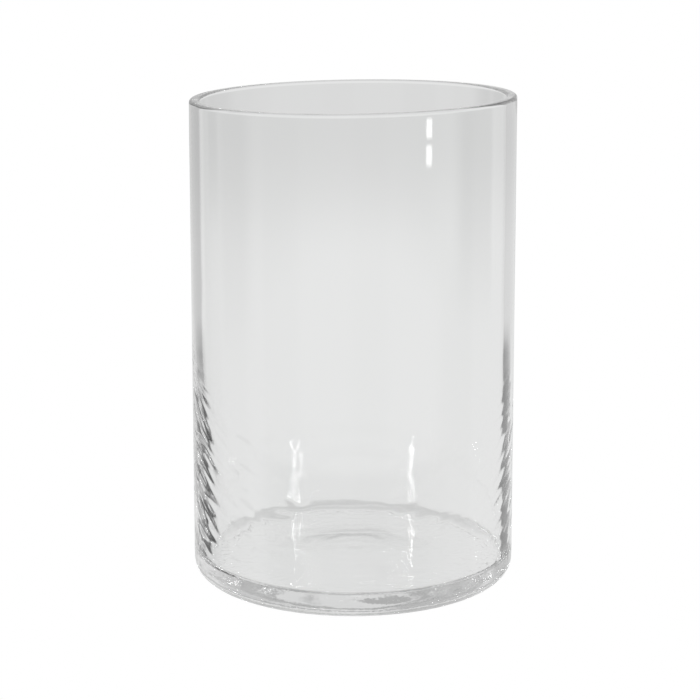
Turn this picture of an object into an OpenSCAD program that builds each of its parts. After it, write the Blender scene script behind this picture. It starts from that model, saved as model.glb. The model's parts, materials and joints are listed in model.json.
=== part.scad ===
// Glass cylinder vase: a straight-sided, open-topped vessel with a thick foot.
// Frame: millimetres, +Z up, origin at the centre of the standing face.
// The vessel is one piece of glass. Its three zones are drawn as solids that meet
// face to face: the thick base, the straight wall and the fire-polished rim.

/* [Body] */
// Outer diameter of the vase
outer_d = 100; // [90:1:200]
// Overall height
height = 150; // [120:1:400]
// Wall thickness of the straight side
wall_t = 3.2; // [2.5:0.1:6]

/* [Base] */
// Thickness of glass between the standing plane and the inside floor
base_t = 7; // [5:0.5:15]
// Radius of the rounded outside heel
heel_r = 5.5; // [2:0.5:8]
// Radius of the inside fillet where the wall meets the floor
floor_fillet_r = 2; // [1:0.5:8]
// Depth of the shallow hollow under the base
punt_depth = 1.2; // [0.4:0.1:3]
// Width of the flat ring that the vase stands on
foot_ring_w = 9; // [4:0.5:15]

/* [Rim] */
// Height of the fire-polished band at the mouth
rim_h = 4; // [3:0.5:8]
// Rounding of the two edges of the rim
rim_r = 1; // [0.5:0.1:1.2]

/* [Hidden] */
$fn = 128;
outer_r = outer_d / 2;
inner_r = outer_r - wall_t;
foot_outer_r = outer_r - heel_r;
foot_inner_r = foot_outer_r - foot_ring_w;
rim_bottom_z = height - rim_h;
// How far neighbouring outlines run past each other before they are trimmed
over = 1;

// Outline of the outside of the whole vase, from the axis out, with a round heel
module outer_outline() {
    translate([0, heel_r]) square([outer_r, height - heel_r]);
    square([foot_outer_r, heel_r + over]);
    translate([foot_outer_r, heel_r]) circle(r = heel_r);
}

// The thick foot: a disc with a round heel, hollowed a little underneath
module base() {
    color([0.86, 0.89, 0.88, 0.5])
    difference() {
        rotate_extrude()
            intersection() {
                outer_outline();
                square([outer_r + over, base_t]);
            }
        punt();
    }
}

// Shallow round-bottomed hollow: a spherical cap cut up into the underside
module punt() {
    punt_sphere_r = (pow(foot_inner_r, 2) + pow(punt_depth, 2)) / (2 * punt_depth);
    translate([0, 0, punt_depth - punt_sphere_r]) sphere(r = punt_sphere_r);
}

// The straight side, with the fillet that runs into the inside floor
module wall() {
    color([0.90, 0.93, 0.92, 0.35])
    rotate_extrude() {
        translate([inner_r, base_t]) square([wall_t, rim_bottom_z - base_t]);
        difference() {
            translate([inner_r - floor_fillet_r, base_t])
                square([floor_fillet_r, floor_fillet_r]);
            translate([inner_r - floor_fillet_r, base_t + floor_fillet_r])
                circle(r = floor_fillet_r);
        }
    }
}

// The lip: a short ring whose top edges are rounded by the flame
module rim() {
    color([0.82, 0.86, 0.85, 0.6])
    rotate_extrude() {
        translate([inner_r, rim_bottom_z]) square([wall_t, rim_h - rim_r]);
        translate([inner_r + rim_r, rim_bottom_z]) square([wall_t - 2 * rim_r, rim_h]);
        for (x = [inner_r + rim_r, outer_r - rim_r])
            translate([x, height - rim_r]) circle(r = rim_r);
    }
}

base();
wall();
rim();
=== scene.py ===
# Glass cylinder vase: the finished glass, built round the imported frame, in metres
import json
import math

import bmesh
import bpy
from mathutils import Euler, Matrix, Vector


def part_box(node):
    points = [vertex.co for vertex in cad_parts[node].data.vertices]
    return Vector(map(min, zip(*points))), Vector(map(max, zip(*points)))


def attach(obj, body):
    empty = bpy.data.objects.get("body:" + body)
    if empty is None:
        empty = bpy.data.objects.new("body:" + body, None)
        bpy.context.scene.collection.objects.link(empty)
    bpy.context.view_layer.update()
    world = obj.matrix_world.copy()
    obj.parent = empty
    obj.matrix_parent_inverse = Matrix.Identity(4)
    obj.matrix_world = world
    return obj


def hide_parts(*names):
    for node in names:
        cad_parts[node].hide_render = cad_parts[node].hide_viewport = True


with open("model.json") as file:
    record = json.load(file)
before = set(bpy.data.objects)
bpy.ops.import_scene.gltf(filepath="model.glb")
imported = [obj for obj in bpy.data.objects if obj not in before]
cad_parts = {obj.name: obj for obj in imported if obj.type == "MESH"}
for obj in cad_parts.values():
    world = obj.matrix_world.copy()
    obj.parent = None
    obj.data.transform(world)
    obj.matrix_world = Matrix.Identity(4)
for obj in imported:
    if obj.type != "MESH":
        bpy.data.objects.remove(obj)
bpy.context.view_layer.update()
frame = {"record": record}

# --- Sizes that the frame gives ---
mouth = next(m for m in frame["record"]["mounts"] if m["name"] == "mouth")
OUTER_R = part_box("wall")[1].x
INNER_R = mouth["dims"]["r_mm"] / 1000
WALL = OUTER_R - INNER_R
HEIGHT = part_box("rim")[1].z
FLOOR_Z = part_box("base")[1].z

# --- Sizes of the glassmaker's rounding ---
HEEL_R = 0.0055
FLOOR_FILLET = 0.002
RIM_ROUND = 0.001
FOOT_RING = 0.009  # width of the flat ring that the vase stands on
PUNT_DEPTH = 0.0012  # depth of the hollow inside that ring
FLOOR_RISE = 0.0005  # the inside floor is this much higher at its middle
FLOOR_RING_DEPTH = 0.000008
FLOOR_RING_PITCH = 0.0009
MOUTH_TAPER = -0.012  # the mouth is narrower than the foot by this share
MOUTH_TILT = math.radians(0.82)

# --- Sizes of the waves in the glass ---
CAVITY_SHIFT = 0.0011  # the left wall is thicker by this much low down
CORD_DEPTH = 0.00023
CORD_SIZE = 0.0021
SWELL_DEPTH = 0.00006
SWELL_SIZE = 0.014
CHILL_DEPTH = 0.0001
CHILL_SIZE = 0.0022
FOOT_MARKS_Z = 0.012  # the fine chill marks end at this height
FOOT_MARKS_R = OUTER_R - 0.012  # and are very weak inside this radius
DRAW_RELIEF = 0.000004
CHILL_RELIEF = 0.00012

# --- Mesh ---
SIDES = 256
SEAM_Z = 0.075  # the mesh is finer below this height, where the glass is rippled
HOLD = 0.0003  # distance from a rounded edge to the ring beside it
DISC_RINGS = 40  # rings in the inside floor and in the underside
TINY = 1e-5


# --- Modelling helpers ---
def edit(piece, mode):
    """Puts one piece in edit mode with nothing on it selected."""
    bpy.ops.object.select_all(action="DESELECT")
    piece.select_set(True)
    bpy.context.view_layer.objects.active = piece
    bpy.ops.object.mode_set(mode="EDIT")
    bpy.ops.mesh.select_mode(type=mode)
    bpy.ops.mesh.select_all(action="DESELECT")


def pick(piece, kind, test):
    """Selects the verts, edges or faces whose corners all pass test(radius, height)."""
    bpy.ops.mesh.select_mode(type=kind)
    bpy.ops.mesh.select_all(action="DESELECT")
    mesh = bmesh.from_edit_mesh(piece.data)
    passed = {v.index for v in mesh.verts if test(math.hypot(v.co.x, v.co.y), v.co.z)}
    items = {"VERT": mesh.verts, "EDGE": mesh.edges, "FACE": mesh.faces}[kind]
    for item in items:
        corners = [item] if kind == "VERT" else item.verts
        if all(v.index in passed for v in corners):
            item.select_set(True)
    bmesh.update_edit_mesh(piece.data)


def pick_wall_edges(piece, radius, low, high):
    """Selects the upright edges of one wall between two heights."""
    bpy.ops.mesh.select_mode(type="EDGE")
    bpy.ops.mesh.select_all(action="DESELECT")
    mesh = bmesh.from_edit_mesh(piece.data)
    for edge in mesh.edges:
        heights = sorted(v.co.z for v in edge.verts)
        near = all(abs(math.hypot(v.co.x, v.co.y) - radius) < 4 * TINY for v in edge.verts)
        upright = heights[1] - heights[0] > 0.02
        if near and upright and low - 0.003 < heights[0] and heights[1] < high + 0.003:
            edge.select_set(True)
    bmesh.update_edit_mesh(piece.data)


def round_edges(piece, radius, height, size, segments):
    """Rounds one ring of edges into an arc."""
    pick(piece, "EDGE", lambda r, z: abs(r - radius) < TINY and abs(z - height) < TINY)
    bpy.ops.mesh.bevel(offset=size, segments=segments, profile=0.5, affect="EDGES")


# --- The vessel ---
def blow_vessel():
    """A glass cylinder hollowed from the top, with a round heel, a fillet inside and a soft rim."""
    bpy.ops.object.select_all(action="DESELECT")
    bpy.ops.mesh.primitive_cylinder_add(
        vertices=SIDES, radius=OUTER_R, depth=HEIGHT, location=(0, 0, HEIGHT / 2)
    )
    vessel = bpy.context.active_object
    vessel.name = vessel.data.name = "vessel"
    bpy.ops.object.transform_apply(location=True, rotation=True, scale=True)
    edit(vessel, "FACE")
    pick(vessel, "FACE", lambda r, z: abs(z - HEIGHT) < TINY)
    bpy.ops.mesh.inset(thickness=WALL)
    bpy.ops.mesh.extrude_region_move(TRANSFORM_OT_translate={"value": (0, 0, FLOOR_Z - HEIGHT)})
    round_edges(vessel, OUTER_R, HEIGHT, RIM_ROUND, 5)
    round_edges(vessel, INNER_R, HEIGHT, RIM_ROUND, 5)
    round_edges(vessel, OUTER_R, 0, HEEL_R, 12)
    round_edges(vessel, INNER_R, FLOOR_Z, FLOOR_FILLET, 12)
    return vessel


def tilt_rim(vessel):
    """The mouth was cut a little out of true, so it is lower on one side."""
    pick(vessel, "VERT", lambda r, z: z > HEIGHT - 2 * RIM_ROUND)
    bpy.ops.transform.rotate(
        value=MOUTH_TILT, orient_axis="Y", center_override=(OUTER_R, 0, HEIGHT)
    )


def ring_walls(vessel):
    """Cuts the straight walls into rings, close together near the foot.

    A ring close to each rounded edge keeps the shading of the wall beside it straight.
    """
    for height in (HEEL_R + HOLD, FLOOR_Z + FLOOR_FILLET + HOLD, SEAM_Z, HEIGHT - RIM_ROUND - HOLD):
        bpy.ops.mesh.select_all(action="SELECT")
        bpy.ops.mesh.bisect(plane_co=(0, 0, height), plane_no=(0, 0, 1))
    for radius, low_rings, high_rings in ((OUTER_R, 6, 6), (INNER_R, 114, 34)):
        pick_wall_edges(vessel, radius, 0, SEAM_Z)
        bpy.ops.mesh.subdivide(number_cuts=low_rings)
        pick_wall_edges(vessel, radius, SEAM_Z, HEIGHT)
        bpy.ops.mesh.subdivide(number_cuts=high_rings)


def floor_height(r):
    """The inside floor: slow rings left by the mould, with a slight rise at the middle."""
    edge = max(0.0, 1 - r / (INNER_R - FLOOR_FILLET))
    rings = FLOOR_RING_DEPTH * math.sin(r / FLOOR_RING_PITCH) * min(1, 3 * edge)
    return FLOOR_Z + FLOOR_RISE * edge * edge + rings


def ring_floor(vessel):
    """Insets the inside floor ring by ring and closes it at the middle."""
    pick(vessel, "FACE", lambda r, z: abs(z - FLOOR_Z) < TINY and r < INNER_R - FLOOR_FILLET + TINY)
    bpy.ops.mesh.inset(thickness=HOLD)
    radius = INNER_R - FLOOR_FILLET - HOLD
    step = radius / (DISC_RINGS + 1)
    for i in range(DISC_RINGS):
        rise = floor_height(radius - step) - floor_height(radius)
        bpy.ops.mesh.inset(thickness=step, depth=rise)
        radius -= step
    bpy.ops.mesh.poke()


def foot_height(r):
    """Under the base: a flat ring to stand on, and a shallow hollow inside it."""
    hollow_r = OUTER_R - HEEL_R - FOOT_RING
    share = min(1.0, r / hollow_r)
    return PUNT_DEPTH * (1 + math.cos(math.pi * share)) / 2


def ring_foot(vessel):
    """Insets the underside ring by ring and closes it at the middle."""
    pick(vessel, "FACE", lambda r, z: abs(z) < TINY and r < OUTER_R - HEEL_R + TINY)
    bpy.ops.mesh.inset(thickness=HOLD)
    radius = OUTER_R - HEEL_R - HOLD
    step = radius / (DISC_RINGS + 1)
    for i in range(DISC_RINGS):
        rise = foot_height(radius - step) - foot_height(radius)
        bpy.ops.mesh.inset(thickness=step, depth=-rise)
        radius -= step
    bpy.ops.mesh.poke()


def narrow_mouth(vessel):
    """The wall draws in a little towards the mouth."""
    taper = vessel.modifiers.new(name="taper", type="SIMPLE_DEFORM")
    taper.deform_method = "TAPER"
    taper.deform_axis = "Z"
    taper.factor = MOUTH_TAPER
    bpy.ops.object.modifier_apply(modifier=taper.name)


vessel = blow_vessel()
ring_walls(vessel)
tilt_rim(vessel)
ring_floor(vessel)
ring_foot(vessel)
bpy.ops.mesh.select_all(action="SELECT")
bpy.ops.mesh.normals_make_consistent(inside=False)
bpy.ops.object.mode_set(mode="OBJECT")
bpy.ops.object.shade_smooth()
narrow_mouth(vessel)


# --- Waviness of hand-finished glass ---
def weigh(piece, name, weight):
    """Makes a vertex group whose weights come from weight(radius, height, x)."""
    group = piece.vertex_groups.new(name=name)
    for v in piece.data.vertices:
        w = weight(math.hypot(v.co.x, v.co.y), v.co.z, v.co.x)
        if w > 0:
            group.add([v.index], w, "REPLACE")


def fade(value, start, end):
    """1 at start, 0 at end, with a soft slope between them."""
    t = min(1.0, max(0.0, (value - end) / (start - end)))
    return t * t * (3 - 2 * t)


def is_inside(r, z):
    return r < INNER_R + 0.0002 and z > FLOOR_Z - 0.001


def push(piece, group, strength, direction="NORMAL", texture=None, stretch=(1, 1, 1), turn=0.0, level=0.5):
    """Displaces the group's part of the surface, plainly or by a wavy pattern."""
    wave = piece.modifiers.new(name=group, type="DISPLACE")
    wave.vertex_group = group
    wave.strength = strength
    wave.direction = direction
    wave.mid_level = 0.0
    guide = None
    if texture:
        guide = bpy.data.objects.new("guide", None)
        bpy.context.scene.collection.objects.link(guide)
        guide.scale = stretch
        guide.rotation_euler = (turn, 0, 0)
        wave.texture = texture
        wave.texture_coords = "OBJECT"
        wave.texture_coords_object = guide
        wave.mid_level = level
        bpy.context.view_layer.update()
    bpy.context.view_layer.objects.active = piece
    bpy.ops.object.modifier_apply(modifier=wave.name)
    if guide:
        bpy.data.objects.remove(guide)


def noise(name, size, depth=1):
    """A cloudy pattern with patches of the given size."""
    texture = bpy.data.textures.new(name, type="CLOUDS")
    texture.noise_scale = size
    texture.noise_depth = depth
    texture.noise_basis = "IMPROVED_PERLIN"
    return texture


def to_left(x):
    """1 at the left side of the cavity, 0 at its right side."""
    return (1 - x / INNER_R) / 2


def cavity_weight(r, z, x):
    """The cavity leans off to one side low down, so the left wall is thicker there."""
    return fade(z, 0.016, 0.075) * to_left(x) ** 2 if is_inside(r, z) else 0


def cord_weight(r, z, x):
    """Cords: short slanting ripples inside the low wall, weak at the middle and at the floor."""
    share = (0.2 + 0.8 * fade(abs(x), 0.022, 0.006)) * (0.5 + 0.5 * to_left(x))
    share *= fade(z, FLOOR_Z + 0.0045, FLOOR_Z + 0.0015)
    return share * fade(z, 0.045, 0.070) * fade(r, INNER_R, 0.040) if is_inside(r, z) else 0


def swell_weight(r, z, x):
    """A slow swell of the whole inside wall."""
    return fade(z, 0.05, 0.150) if is_inside(r, z) else 0


def chill_weight(r, z, x):
    """Dents outside, low on the foot and under it, where the glass met the cold mould."""
    return fade(z, 0.006, 0.010) * fade(r, 0.036, 0.026) if not is_inside(r, z) else 0


weigh(vessel, "cavity", cavity_weight)
push(vessel, "cavity", CAVITY_SHIFT, "X")
weigh(vessel, "cords", cord_weight)
cord_noise = noise("cord noise", CORD_SIZE, 0)
push(vessel, "cords", CORD_DEPTH, texture=cord_noise, stretch=(2, 5, 1), turn=math.radians(30))
weigh(vessel, "swell", swell_weight)
swell_noise = noise("swell noise", SWELL_SIZE)
push(vessel, "swell", SWELL_DEPTH, texture=swell_noise, stretch=(1, 1, 1.4))
weigh(vessel, "chill", chill_weight)
chill_noise = noise("chill noise", CHILL_SIZE, 0)
push(vessel, "chill", CHILL_DEPTH, texture=chill_noise, level=1.0)


# --- Node helpers ---
def math_node(tree, operation, a, b=None, c=None):
    """A math node whose inputs are numbers or other nodes' outputs."""
    node = tree.nodes.new("ShaderNodeMath")
    node.operation = operation
    for socket, value in zip(node.inputs, (a, b, c)):
        if value is None:
            continue
        if isinstance(value, (int, float)):
            socket.default_value = value
        else:
            tree.links.new(value, socket)
    return node.outputs[0]


def ramp(tree, value, low, high, at_low, at_high):
    """A soft step from at_low to at_high as value goes from low to high."""
    node = tree.nodes.new("ShaderNodeMapRange")
    node.interpolation_type = "SMOOTHSTEP"
    tree.links.new(value, node.inputs["Value"])
    node.inputs["From Min"].default_value = low
    node.inputs["From Max"].default_value = high
    for name, end in (("To Min", at_low), ("To Max", at_high)):
        if isinstance(end, (int, float)):
            node.inputs[name].default_value = end
        else:
            tree.links.new(end, node.inputs[name])
    return node.outputs["Result"]


def mix(tree, share, a, b):
    """a where share is 0, b where it is 1."""
    node = tree.nodes.new("ShaderNodeMix")
    node.data_type = "FLOAT"
    for name, value in ((0, share), (2, a), (3, b)):
        if isinstance(value, (int, float)):
            node.inputs[name].default_value = value
        else:
            tree.links.new(value, node.inputs[name])
    return node.outputs[0]


def grain(tree, where, scale, detail):
    """A soft noise from 0 to 1, stretched by its scale along each axis."""
    mapping = tree.nodes.new("ShaderNodeMapping")
    mapping.inputs["Scale"].default_value = scale
    tree.links.new(where, mapping.inputs["Vector"])
    noise_node = tree.nodes.new("ShaderNodeTexNoise")
    noise_node.inputs["Scale"].default_value = 1.0
    noise_node.inputs["Detail"].default_value = detail
    tree.links.new(mapping.outputs[0], noise_node.inputs["Vector"])
    return noise_node.outputs[0]


def band(tree, value, centre, half_width, soft):
    """1 where value is within half_width of centre, 0 away from it."""
    off = math_node(tree, "ABSOLUTE", math_node(tree, "SUBTRACT", value, centre))
    return ramp(tree, off, half_width - soft, half_width + soft, 1.0, 0.0)


def product(tree, first, *others):
    """The first value multiplied by all the others."""
    for other in others:
        first = math_node(tree, "MULTIPLY", first, other)
    return first


# --- Glass ---
def distance_from_axis(tree, where):
    """How far a place is from the upright axis."""
    flat = tree.nodes.new("ShaderNodeVectorMath")
    flat.operation = "MULTIPLY"
    flat.inputs[1].default_value = (1, 1, 0)
    tree.links.new(where, flat.inputs[0])
    length = tree.nodes.new("ShaderNodeVectorMath")
    length.operation = "LENGTH"
    tree.links.new(flat.outputs[0], length.inputs[0])
    return length.outputs["Value"]


def glass_relief(tree, where):
    """Faint upright draw lines in the wall, and fine chill marks in the outer part of the foot."""
    split = tree.nodes.new("ShaderNodeSeparateXYZ")
    tree.links.new(where, split.inputs[0])
    in_foot = ramp(tree, split.outputs["Z"], FLOOR_Z, FOOT_MARKS_Z, 1.0, 0.0)
    distance = distance_from_axis(tree, where)
    at_heel = ramp(tree, distance, FOOT_MARKS_R, FOOT_MARKS_R + 0.004, 0.04, 1.0)
    draw_lines = grain(tree, where, (260, 260, 9), 2)
    chill_marks = grain(tree, where, (380, 380, 380), 2)
    marks = product(tree, chill_marks, in_foot, at_heel, CHILL_RELIEF)
    return math_node(tree, "MULTIPLY_ADD", draw_lines, DRAW_RELIEF, marks)


def glass():
    """Clear glass with a little relief and a trace of grey green."""
    material = bpy.data.materials.new("vase_glass")
    material.use_nodes = True
    tree = material.node_tree
    shader = tree.nodes["Principled BSDF"]
    shader.inputs["Roughness"].default_value = 0.0
    shader.inputs["IOR"].default_value = 1.52
    shader.inputs["Transmission Weight"].default_value = 1.0
    place = tree.nodes.new("ShaderNodeTexCoord")
    bump = tree.nodes.new("ShaderNodeBump")
    bump.inputs["Strength"].default_value = 1.0
    bump.inputs["Distance"].default_value = 1.0
    tree.links.new(glass_relief(tree, place.outputs["Object"]), bump.inputs["Height"])
    tree.links.new(bump.outputs["Normal"], shader.inputs["Normal"])
    tint = tree.nodes.new("ShaderNodeMix")
    tint.data_type = "RGBA"
    tint.inputs[6].default_value = (0.985, 0.992, 0.988, 1)
    tint.inputs[7].default_value = (1, 1, 1, 1)
    tree.links.new(grain(tree, place.outputs["Object"], (40, 40, 12), 1), tint.inputs[0])
    tree.links.new(tint.outputs[2], shader.inputs["Base Color"])
    return material


vessel.data.materials.clear()
vessel.data.materials.append(glass())
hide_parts("base", "wall", "rim")
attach(vessel, "root")


# --- Studio ---
# Cards: bearing from straight behind, half width, soft edge, lowest level, highest level,
# soft ends (all in degrees), and how much light the card takes away
PALE_CARDS = (
    (-16, 11, 2, -10.2, 12, 1.6, 0.07),
    (-13.5, 1.8, 1.2, -8.6, 12, 1.6, 0.10),
    (-8, 2, 1, -12.5, 12, 2.0, 0.05),
    (9.3, 3.2, 1.0, -11.0, 12, 1.8, 0.11),
)
DARK_CARDS = (
    (-25, 20, 2, -36, -16.6, 0.4, 0.99),
    (-34, 11, 3, -15.8, -12.6, 0.9, 0.50),
    (-24, 15, 4, -14.8, 12, 1.5, 0.36),
    (31.5, 9, 2, -34, -12.8, 0.9, 0.78),
    (28, 16, 4, -13, 12, 1.5, 0.18),
    (-81, 12, 2, -30, -20.8, 0.4, 0.9),
    (99, 12, 2, -30, -20.8, 0.4, 0.9),
    (168, 10, 2, -30, -20.8, 0.4, 0.8),
    (-81, 14, 4, -20.8, 12, 1.5, 0.25),
    (99, 14, 4, -20.8, 12, 1.5, 0.25),
    (168, 12, 4, -20.8, 12, 1.5, 0.20),
    (-126, 14, 4, -20.8, 12, 1.5, 0.35),
    (-57, 10, 4, -20.8, 12, 1.5, 0.35),
)
# Short lamps: bearing from straight behind, half width and level, in degrees
SHORT_LAMPS = ((0.05, 0.15, 18.32), (0.0, 0.45, 18.65), (0.25, 0.5, 18.97))


def card_shade(tree, heading, level, bearing, half_width, soft, low, high, soft_end, darkness):
    """How much light a card leaves: 1 outside it, less behind it, with soft edges."""
    across = tree.nodes.new("ShaderNodeVectorMath")
    across.operation = "DOT_PRODUCT"
    turn = math.radians(bearing)
    across.inputs[1].default_value = (math.sin(turn), math.cos(turn), 0)
    tree.links.new(heading, across.inputs[0])
    outer = math.cos(math.radians(half_width + soft))
    inner = math.cos(math.radians(max(0, half_width - soft)))
    shade = product(
        tree,
        ramp(tree, across.outputs["Value"], outer, inner, 0.0, darkness),
        ramp(tree, level, high - soft_end, high + soft_end, 1.0, 0.0),
        ramp(tree, level, low - soft_end, low + soft_end, 0.0, 1.0),
    )
    return math_node(tree, "SUBTRACT", 1.0, shade)


def shaded(tree, light, dark_patches, patch_depth, heading, level, cards):
    """Light with dark patches on it and cards in front of it."""
    patched = math_node(tree, "MULTIPLY_ADD", dark_patches, -patch_depth, 1.0)
    light = math_node(tree, "MULTIPLY", light, patched)
    for card in cards:
        light = math_node(tree, "MULTIPLY", light, card_shade(tree, heading, level, *card))
    return light


def seen_through(tree, path, way, heading, level):
    """What shows through the glass: a light sweep, dimmer overhead and straight below.

    Light that turned back inside the wall or the foot and crossed only two faces shows the
    dark cards and darker patches. All other light shows the pale cards.
    """
    sweep = ramp(tree, level, -10.5, -7, 0.79, 0.71)
    sweep = mix(tree, ramp(tree, level, 30, 50, 0.0, 1.0), sweep, 0.5)
    sweep = mix(tree, ramp(tree, level, -42, -30, 1.0, 0.0), sweep, 0.70)
    patches = ramp(tree, grain(tree, way, (5, 5, 8), 1), 0.42, 0.58, 1.0, 0.0)
    below = ramp(tree, level, -25, -21.5, 1.0, 0.0)
    above_and_below = math_node(tree, "SUBTRACT", 1.0, band(tree, level, -4, 17, 1))
    low_patches = math_node(tree, "MULTIPLY", below, patches)
    clear = shaded(tree, sweep, low_patches, 0.10, heading, level, PALE_CARDS)
    edge_patches = math_node(tree, "MULTIPLY", above_and_below, patches)
    edge = shaded(tree, sweep, edge_patches, 0.38, heading, level, DARK_CARDS)
    two_faces = math_node(tree, "COMPARE", path.outputs["Transmission Depth"], 2.5, 1.0)
    turned_back = math_node(tree, "GREATER_THAN", path.outputs["Glossy Depth"], 0.5)
    return mix(tree, math_node(tree, "MULTIPLY", two_faces, turned_back), clear, edge)


def mirrored_room(tree, y, level, through):
    """What the glass mirrors: a bright table top a little way in front, and a dim room."""
    turned = math_node(tree, "ADD", y, 1.0)
    near_edge = math_node(tree, "MULTIPLY_ADD", turned, -0.75, level)
    far_edge = math_node(tree, "MULTIPLY_ADD", turned, 2.6, level)
    table = ramp(tree, near_edge, -16.2, -15.6, 0.1, 1.05)
    far = ramp(tree, far_edge, -10.5, -7.5, 1.0, 0.1)
    room = math_node(tree, "MULTIPLY", table, far)
    room = mix(tree, ramp(tree, level, -2, 4, 0.0, 1.0), room, 0.7)
    return mix(tree, ramp(tree, y, -0.7, -0.2, 0.0, 1.0), room, through)


def small_lamp(tree, across, level):
    """A small lamp low on the right in front, in two panes, that only mirrors."""
    upper = band(tree, level, -6.45, 0.34, 0.12)
    lower = band(tree, level, -7.35, 0.28, 0.12)
    panes = math_node(tree, "ADD", upper, lower)
    return product(tree, band(tree, across, 53.6, 2.1, 0.9), panes, 9)


def tall_lamps(tree, path, across, level):
    """Two tall thin lamps in front, one each side, whose tops lean in.

    They show only in light that was mirrored twice, such as by the back wall and the floor.
    """
    side = math_node(tree, "ABSOLUTE", across)
    course = ramp(tree, level, 18.2, 19.8, 48.5, 29)
    twice = math_node(tree, "GREATER_THAN", path.outputs["Glossy Depth"], 1.5)
    strips = band(tree, side, course, 1.3, 0.3)
    return product(tree, strips, band(tree, level, 15.7, 4, 0.2), twice, 22)


def short_lamps(tree, behind, level):
    """Three short thin lamps above each other behind the vase."""
    lamps = 0.0
    for bearing, half_width, lamp_level in SHORT_LAMPS:
        strip = band(tree, behind, bearing, half_width, 0.08)
        lamp = product(tree, strip, band(tree, level, lamp_level, 0.04, 0.02))
        lamps = math_node(tree, "ADD", lamp, lamps)
    return lamps


def studio_world():
    """The surroundings that the glass shows. All angles are in degrees."""
    world = bpy.data.worlds.new("studio")
    world.use_nodes = True
    tree = world.node_tree
    tree.nodes.clear()
    out = tree.nodes.new("ShaderNodeOutputWorld")
    background = tree.nodes.new("ShaderNodeBackground")
    place = tree.nodes.new("ShaderNodeTexCoord")
    split = tree.nodes.new("ShaderNodeSeparateXYZ")
    path = tree.nodes.new("ShaderNodeLightPath")
    way = place.outputs["Generated"]
    tree.links.new(way, split.inputs[0])
    x, y, z = split.outputs
    to_degrees = 180 / math.pi
    level = math_node(tree, "MULTIPLY", math_node(tree, "ARCSINE", z), to_degrees)
    across = math_node(tree, "ARCTAN2", x, math_node(tree, "MULTIPLY", y, -1))
    across = math_node(tree, "MULTIPLY", across, to_degrees)
    behind = math_node(tree, "MULTIPLY", math_node(tree, "ARCTAN2", x, y), to_degrees)
    flat = tree.nodes.new("ShaderNodeVectorMath")
    flat.operation = "MULTIPLY"
    flat.inputs[1].default_value = (1, 1, 0)
    tree.links.new(way, flat.inputs[0])
    heading = tree.nodes.new("ShaderNodeVectorMath")
    heading.operation = "NORMALIZE"
    tree.links.new(flat.outputs[0], heading.inputs[0])
    through = seen_through(tree, path, way, heading.outputs[0], level)
    mirrored = mirrored_room(tree, y, level, through)
    mirrored = math_node(tree, "ADD", mirrored, small_lamp(tree, across, level))
    seen = mix(tree, path.outputs["Is Reflection Ray"], through, mirrored)
    seen = math_node(tree, "ADD", seen, tall_lamps(tree, path, across, level))
    seen = math_node(tree, "ADD", seen, short_lamps(tree, behind, level))
    seen = mix(tree, path.outputs["Is Camera Ray"], seen, 1.0)
    tree.links.new(seen, background.inputs["Color"])
    tree.links.new(background.outputs[0], out.inputs["Surface"])
    bpy.context.scene.world = world


def pale_floor():
    """A plain white floor that the eye sees and the glass doesn't."""
    bpy.ops.object.select_all(action="DESELECT")
    bpy.ops.mesh.primitive_plane_add(size=6, location=(0, 0, 0))
    floor = bpy.context.active_object
    floor.name = "floor"
    material = bpy.data.materials.new("pale_floor")
    material.use_nodes = True
    tree = material.node_tree
    tree.nodes.clear()
    out = tree.nodes.new("ShaderNodeOutputMaterial")
    glow = tree.nodes.new("ShaderNodeEmission")
    glow.inputs["Color"].default_value = (1, 1, 1, 1)
    tree.links.new(glow.outputs[0], out.inputs["Surface"])
    floor.data.materials.append(material)
    floor.visible_transmission = False
    floor.visible_glossy = False
    floor.visible_shadow = False


studio_world()
pale_floor()

# --- Camera ---
CAMERA_BACK = 0.6404
CAMERA_UP = 0.2182
CAMERA_LENS = 109.1
CAMERA_DIP = 0.2266  # how far it looks down, in radians
CAMERA_LEAN = 0.0007
CAMERA_TURN = 0.0013
camera_data = bpy.data.cameras.new("camera")
camera_data.sensor_width = 36
camera_data.lens = CAMERA_LENS
camera = bpy.data.objects.new("camera", camera_data)
camera.location = (0, -CAMERA_BACK, CAMERA_UP)
camera.rotation_euler = Euler((math.pi / 2 - CAMERA_DIP, CAMERA_LEAN, CAMERA_TURN))
scene = bpy.context.scene
scene.collection.objects.link(camera)
scene.camera = camera
scene.view_settings.view_transform = "Standard"
# light runs a long way inside the wall before it leaves at the rim and the foot
scene.cycles.max_bounces = 128
scene.cycles.glossy_bounces = 96
scene.cycles.transmission_bounces = 96
scene.cycles.sample_clamp_indirect = 30
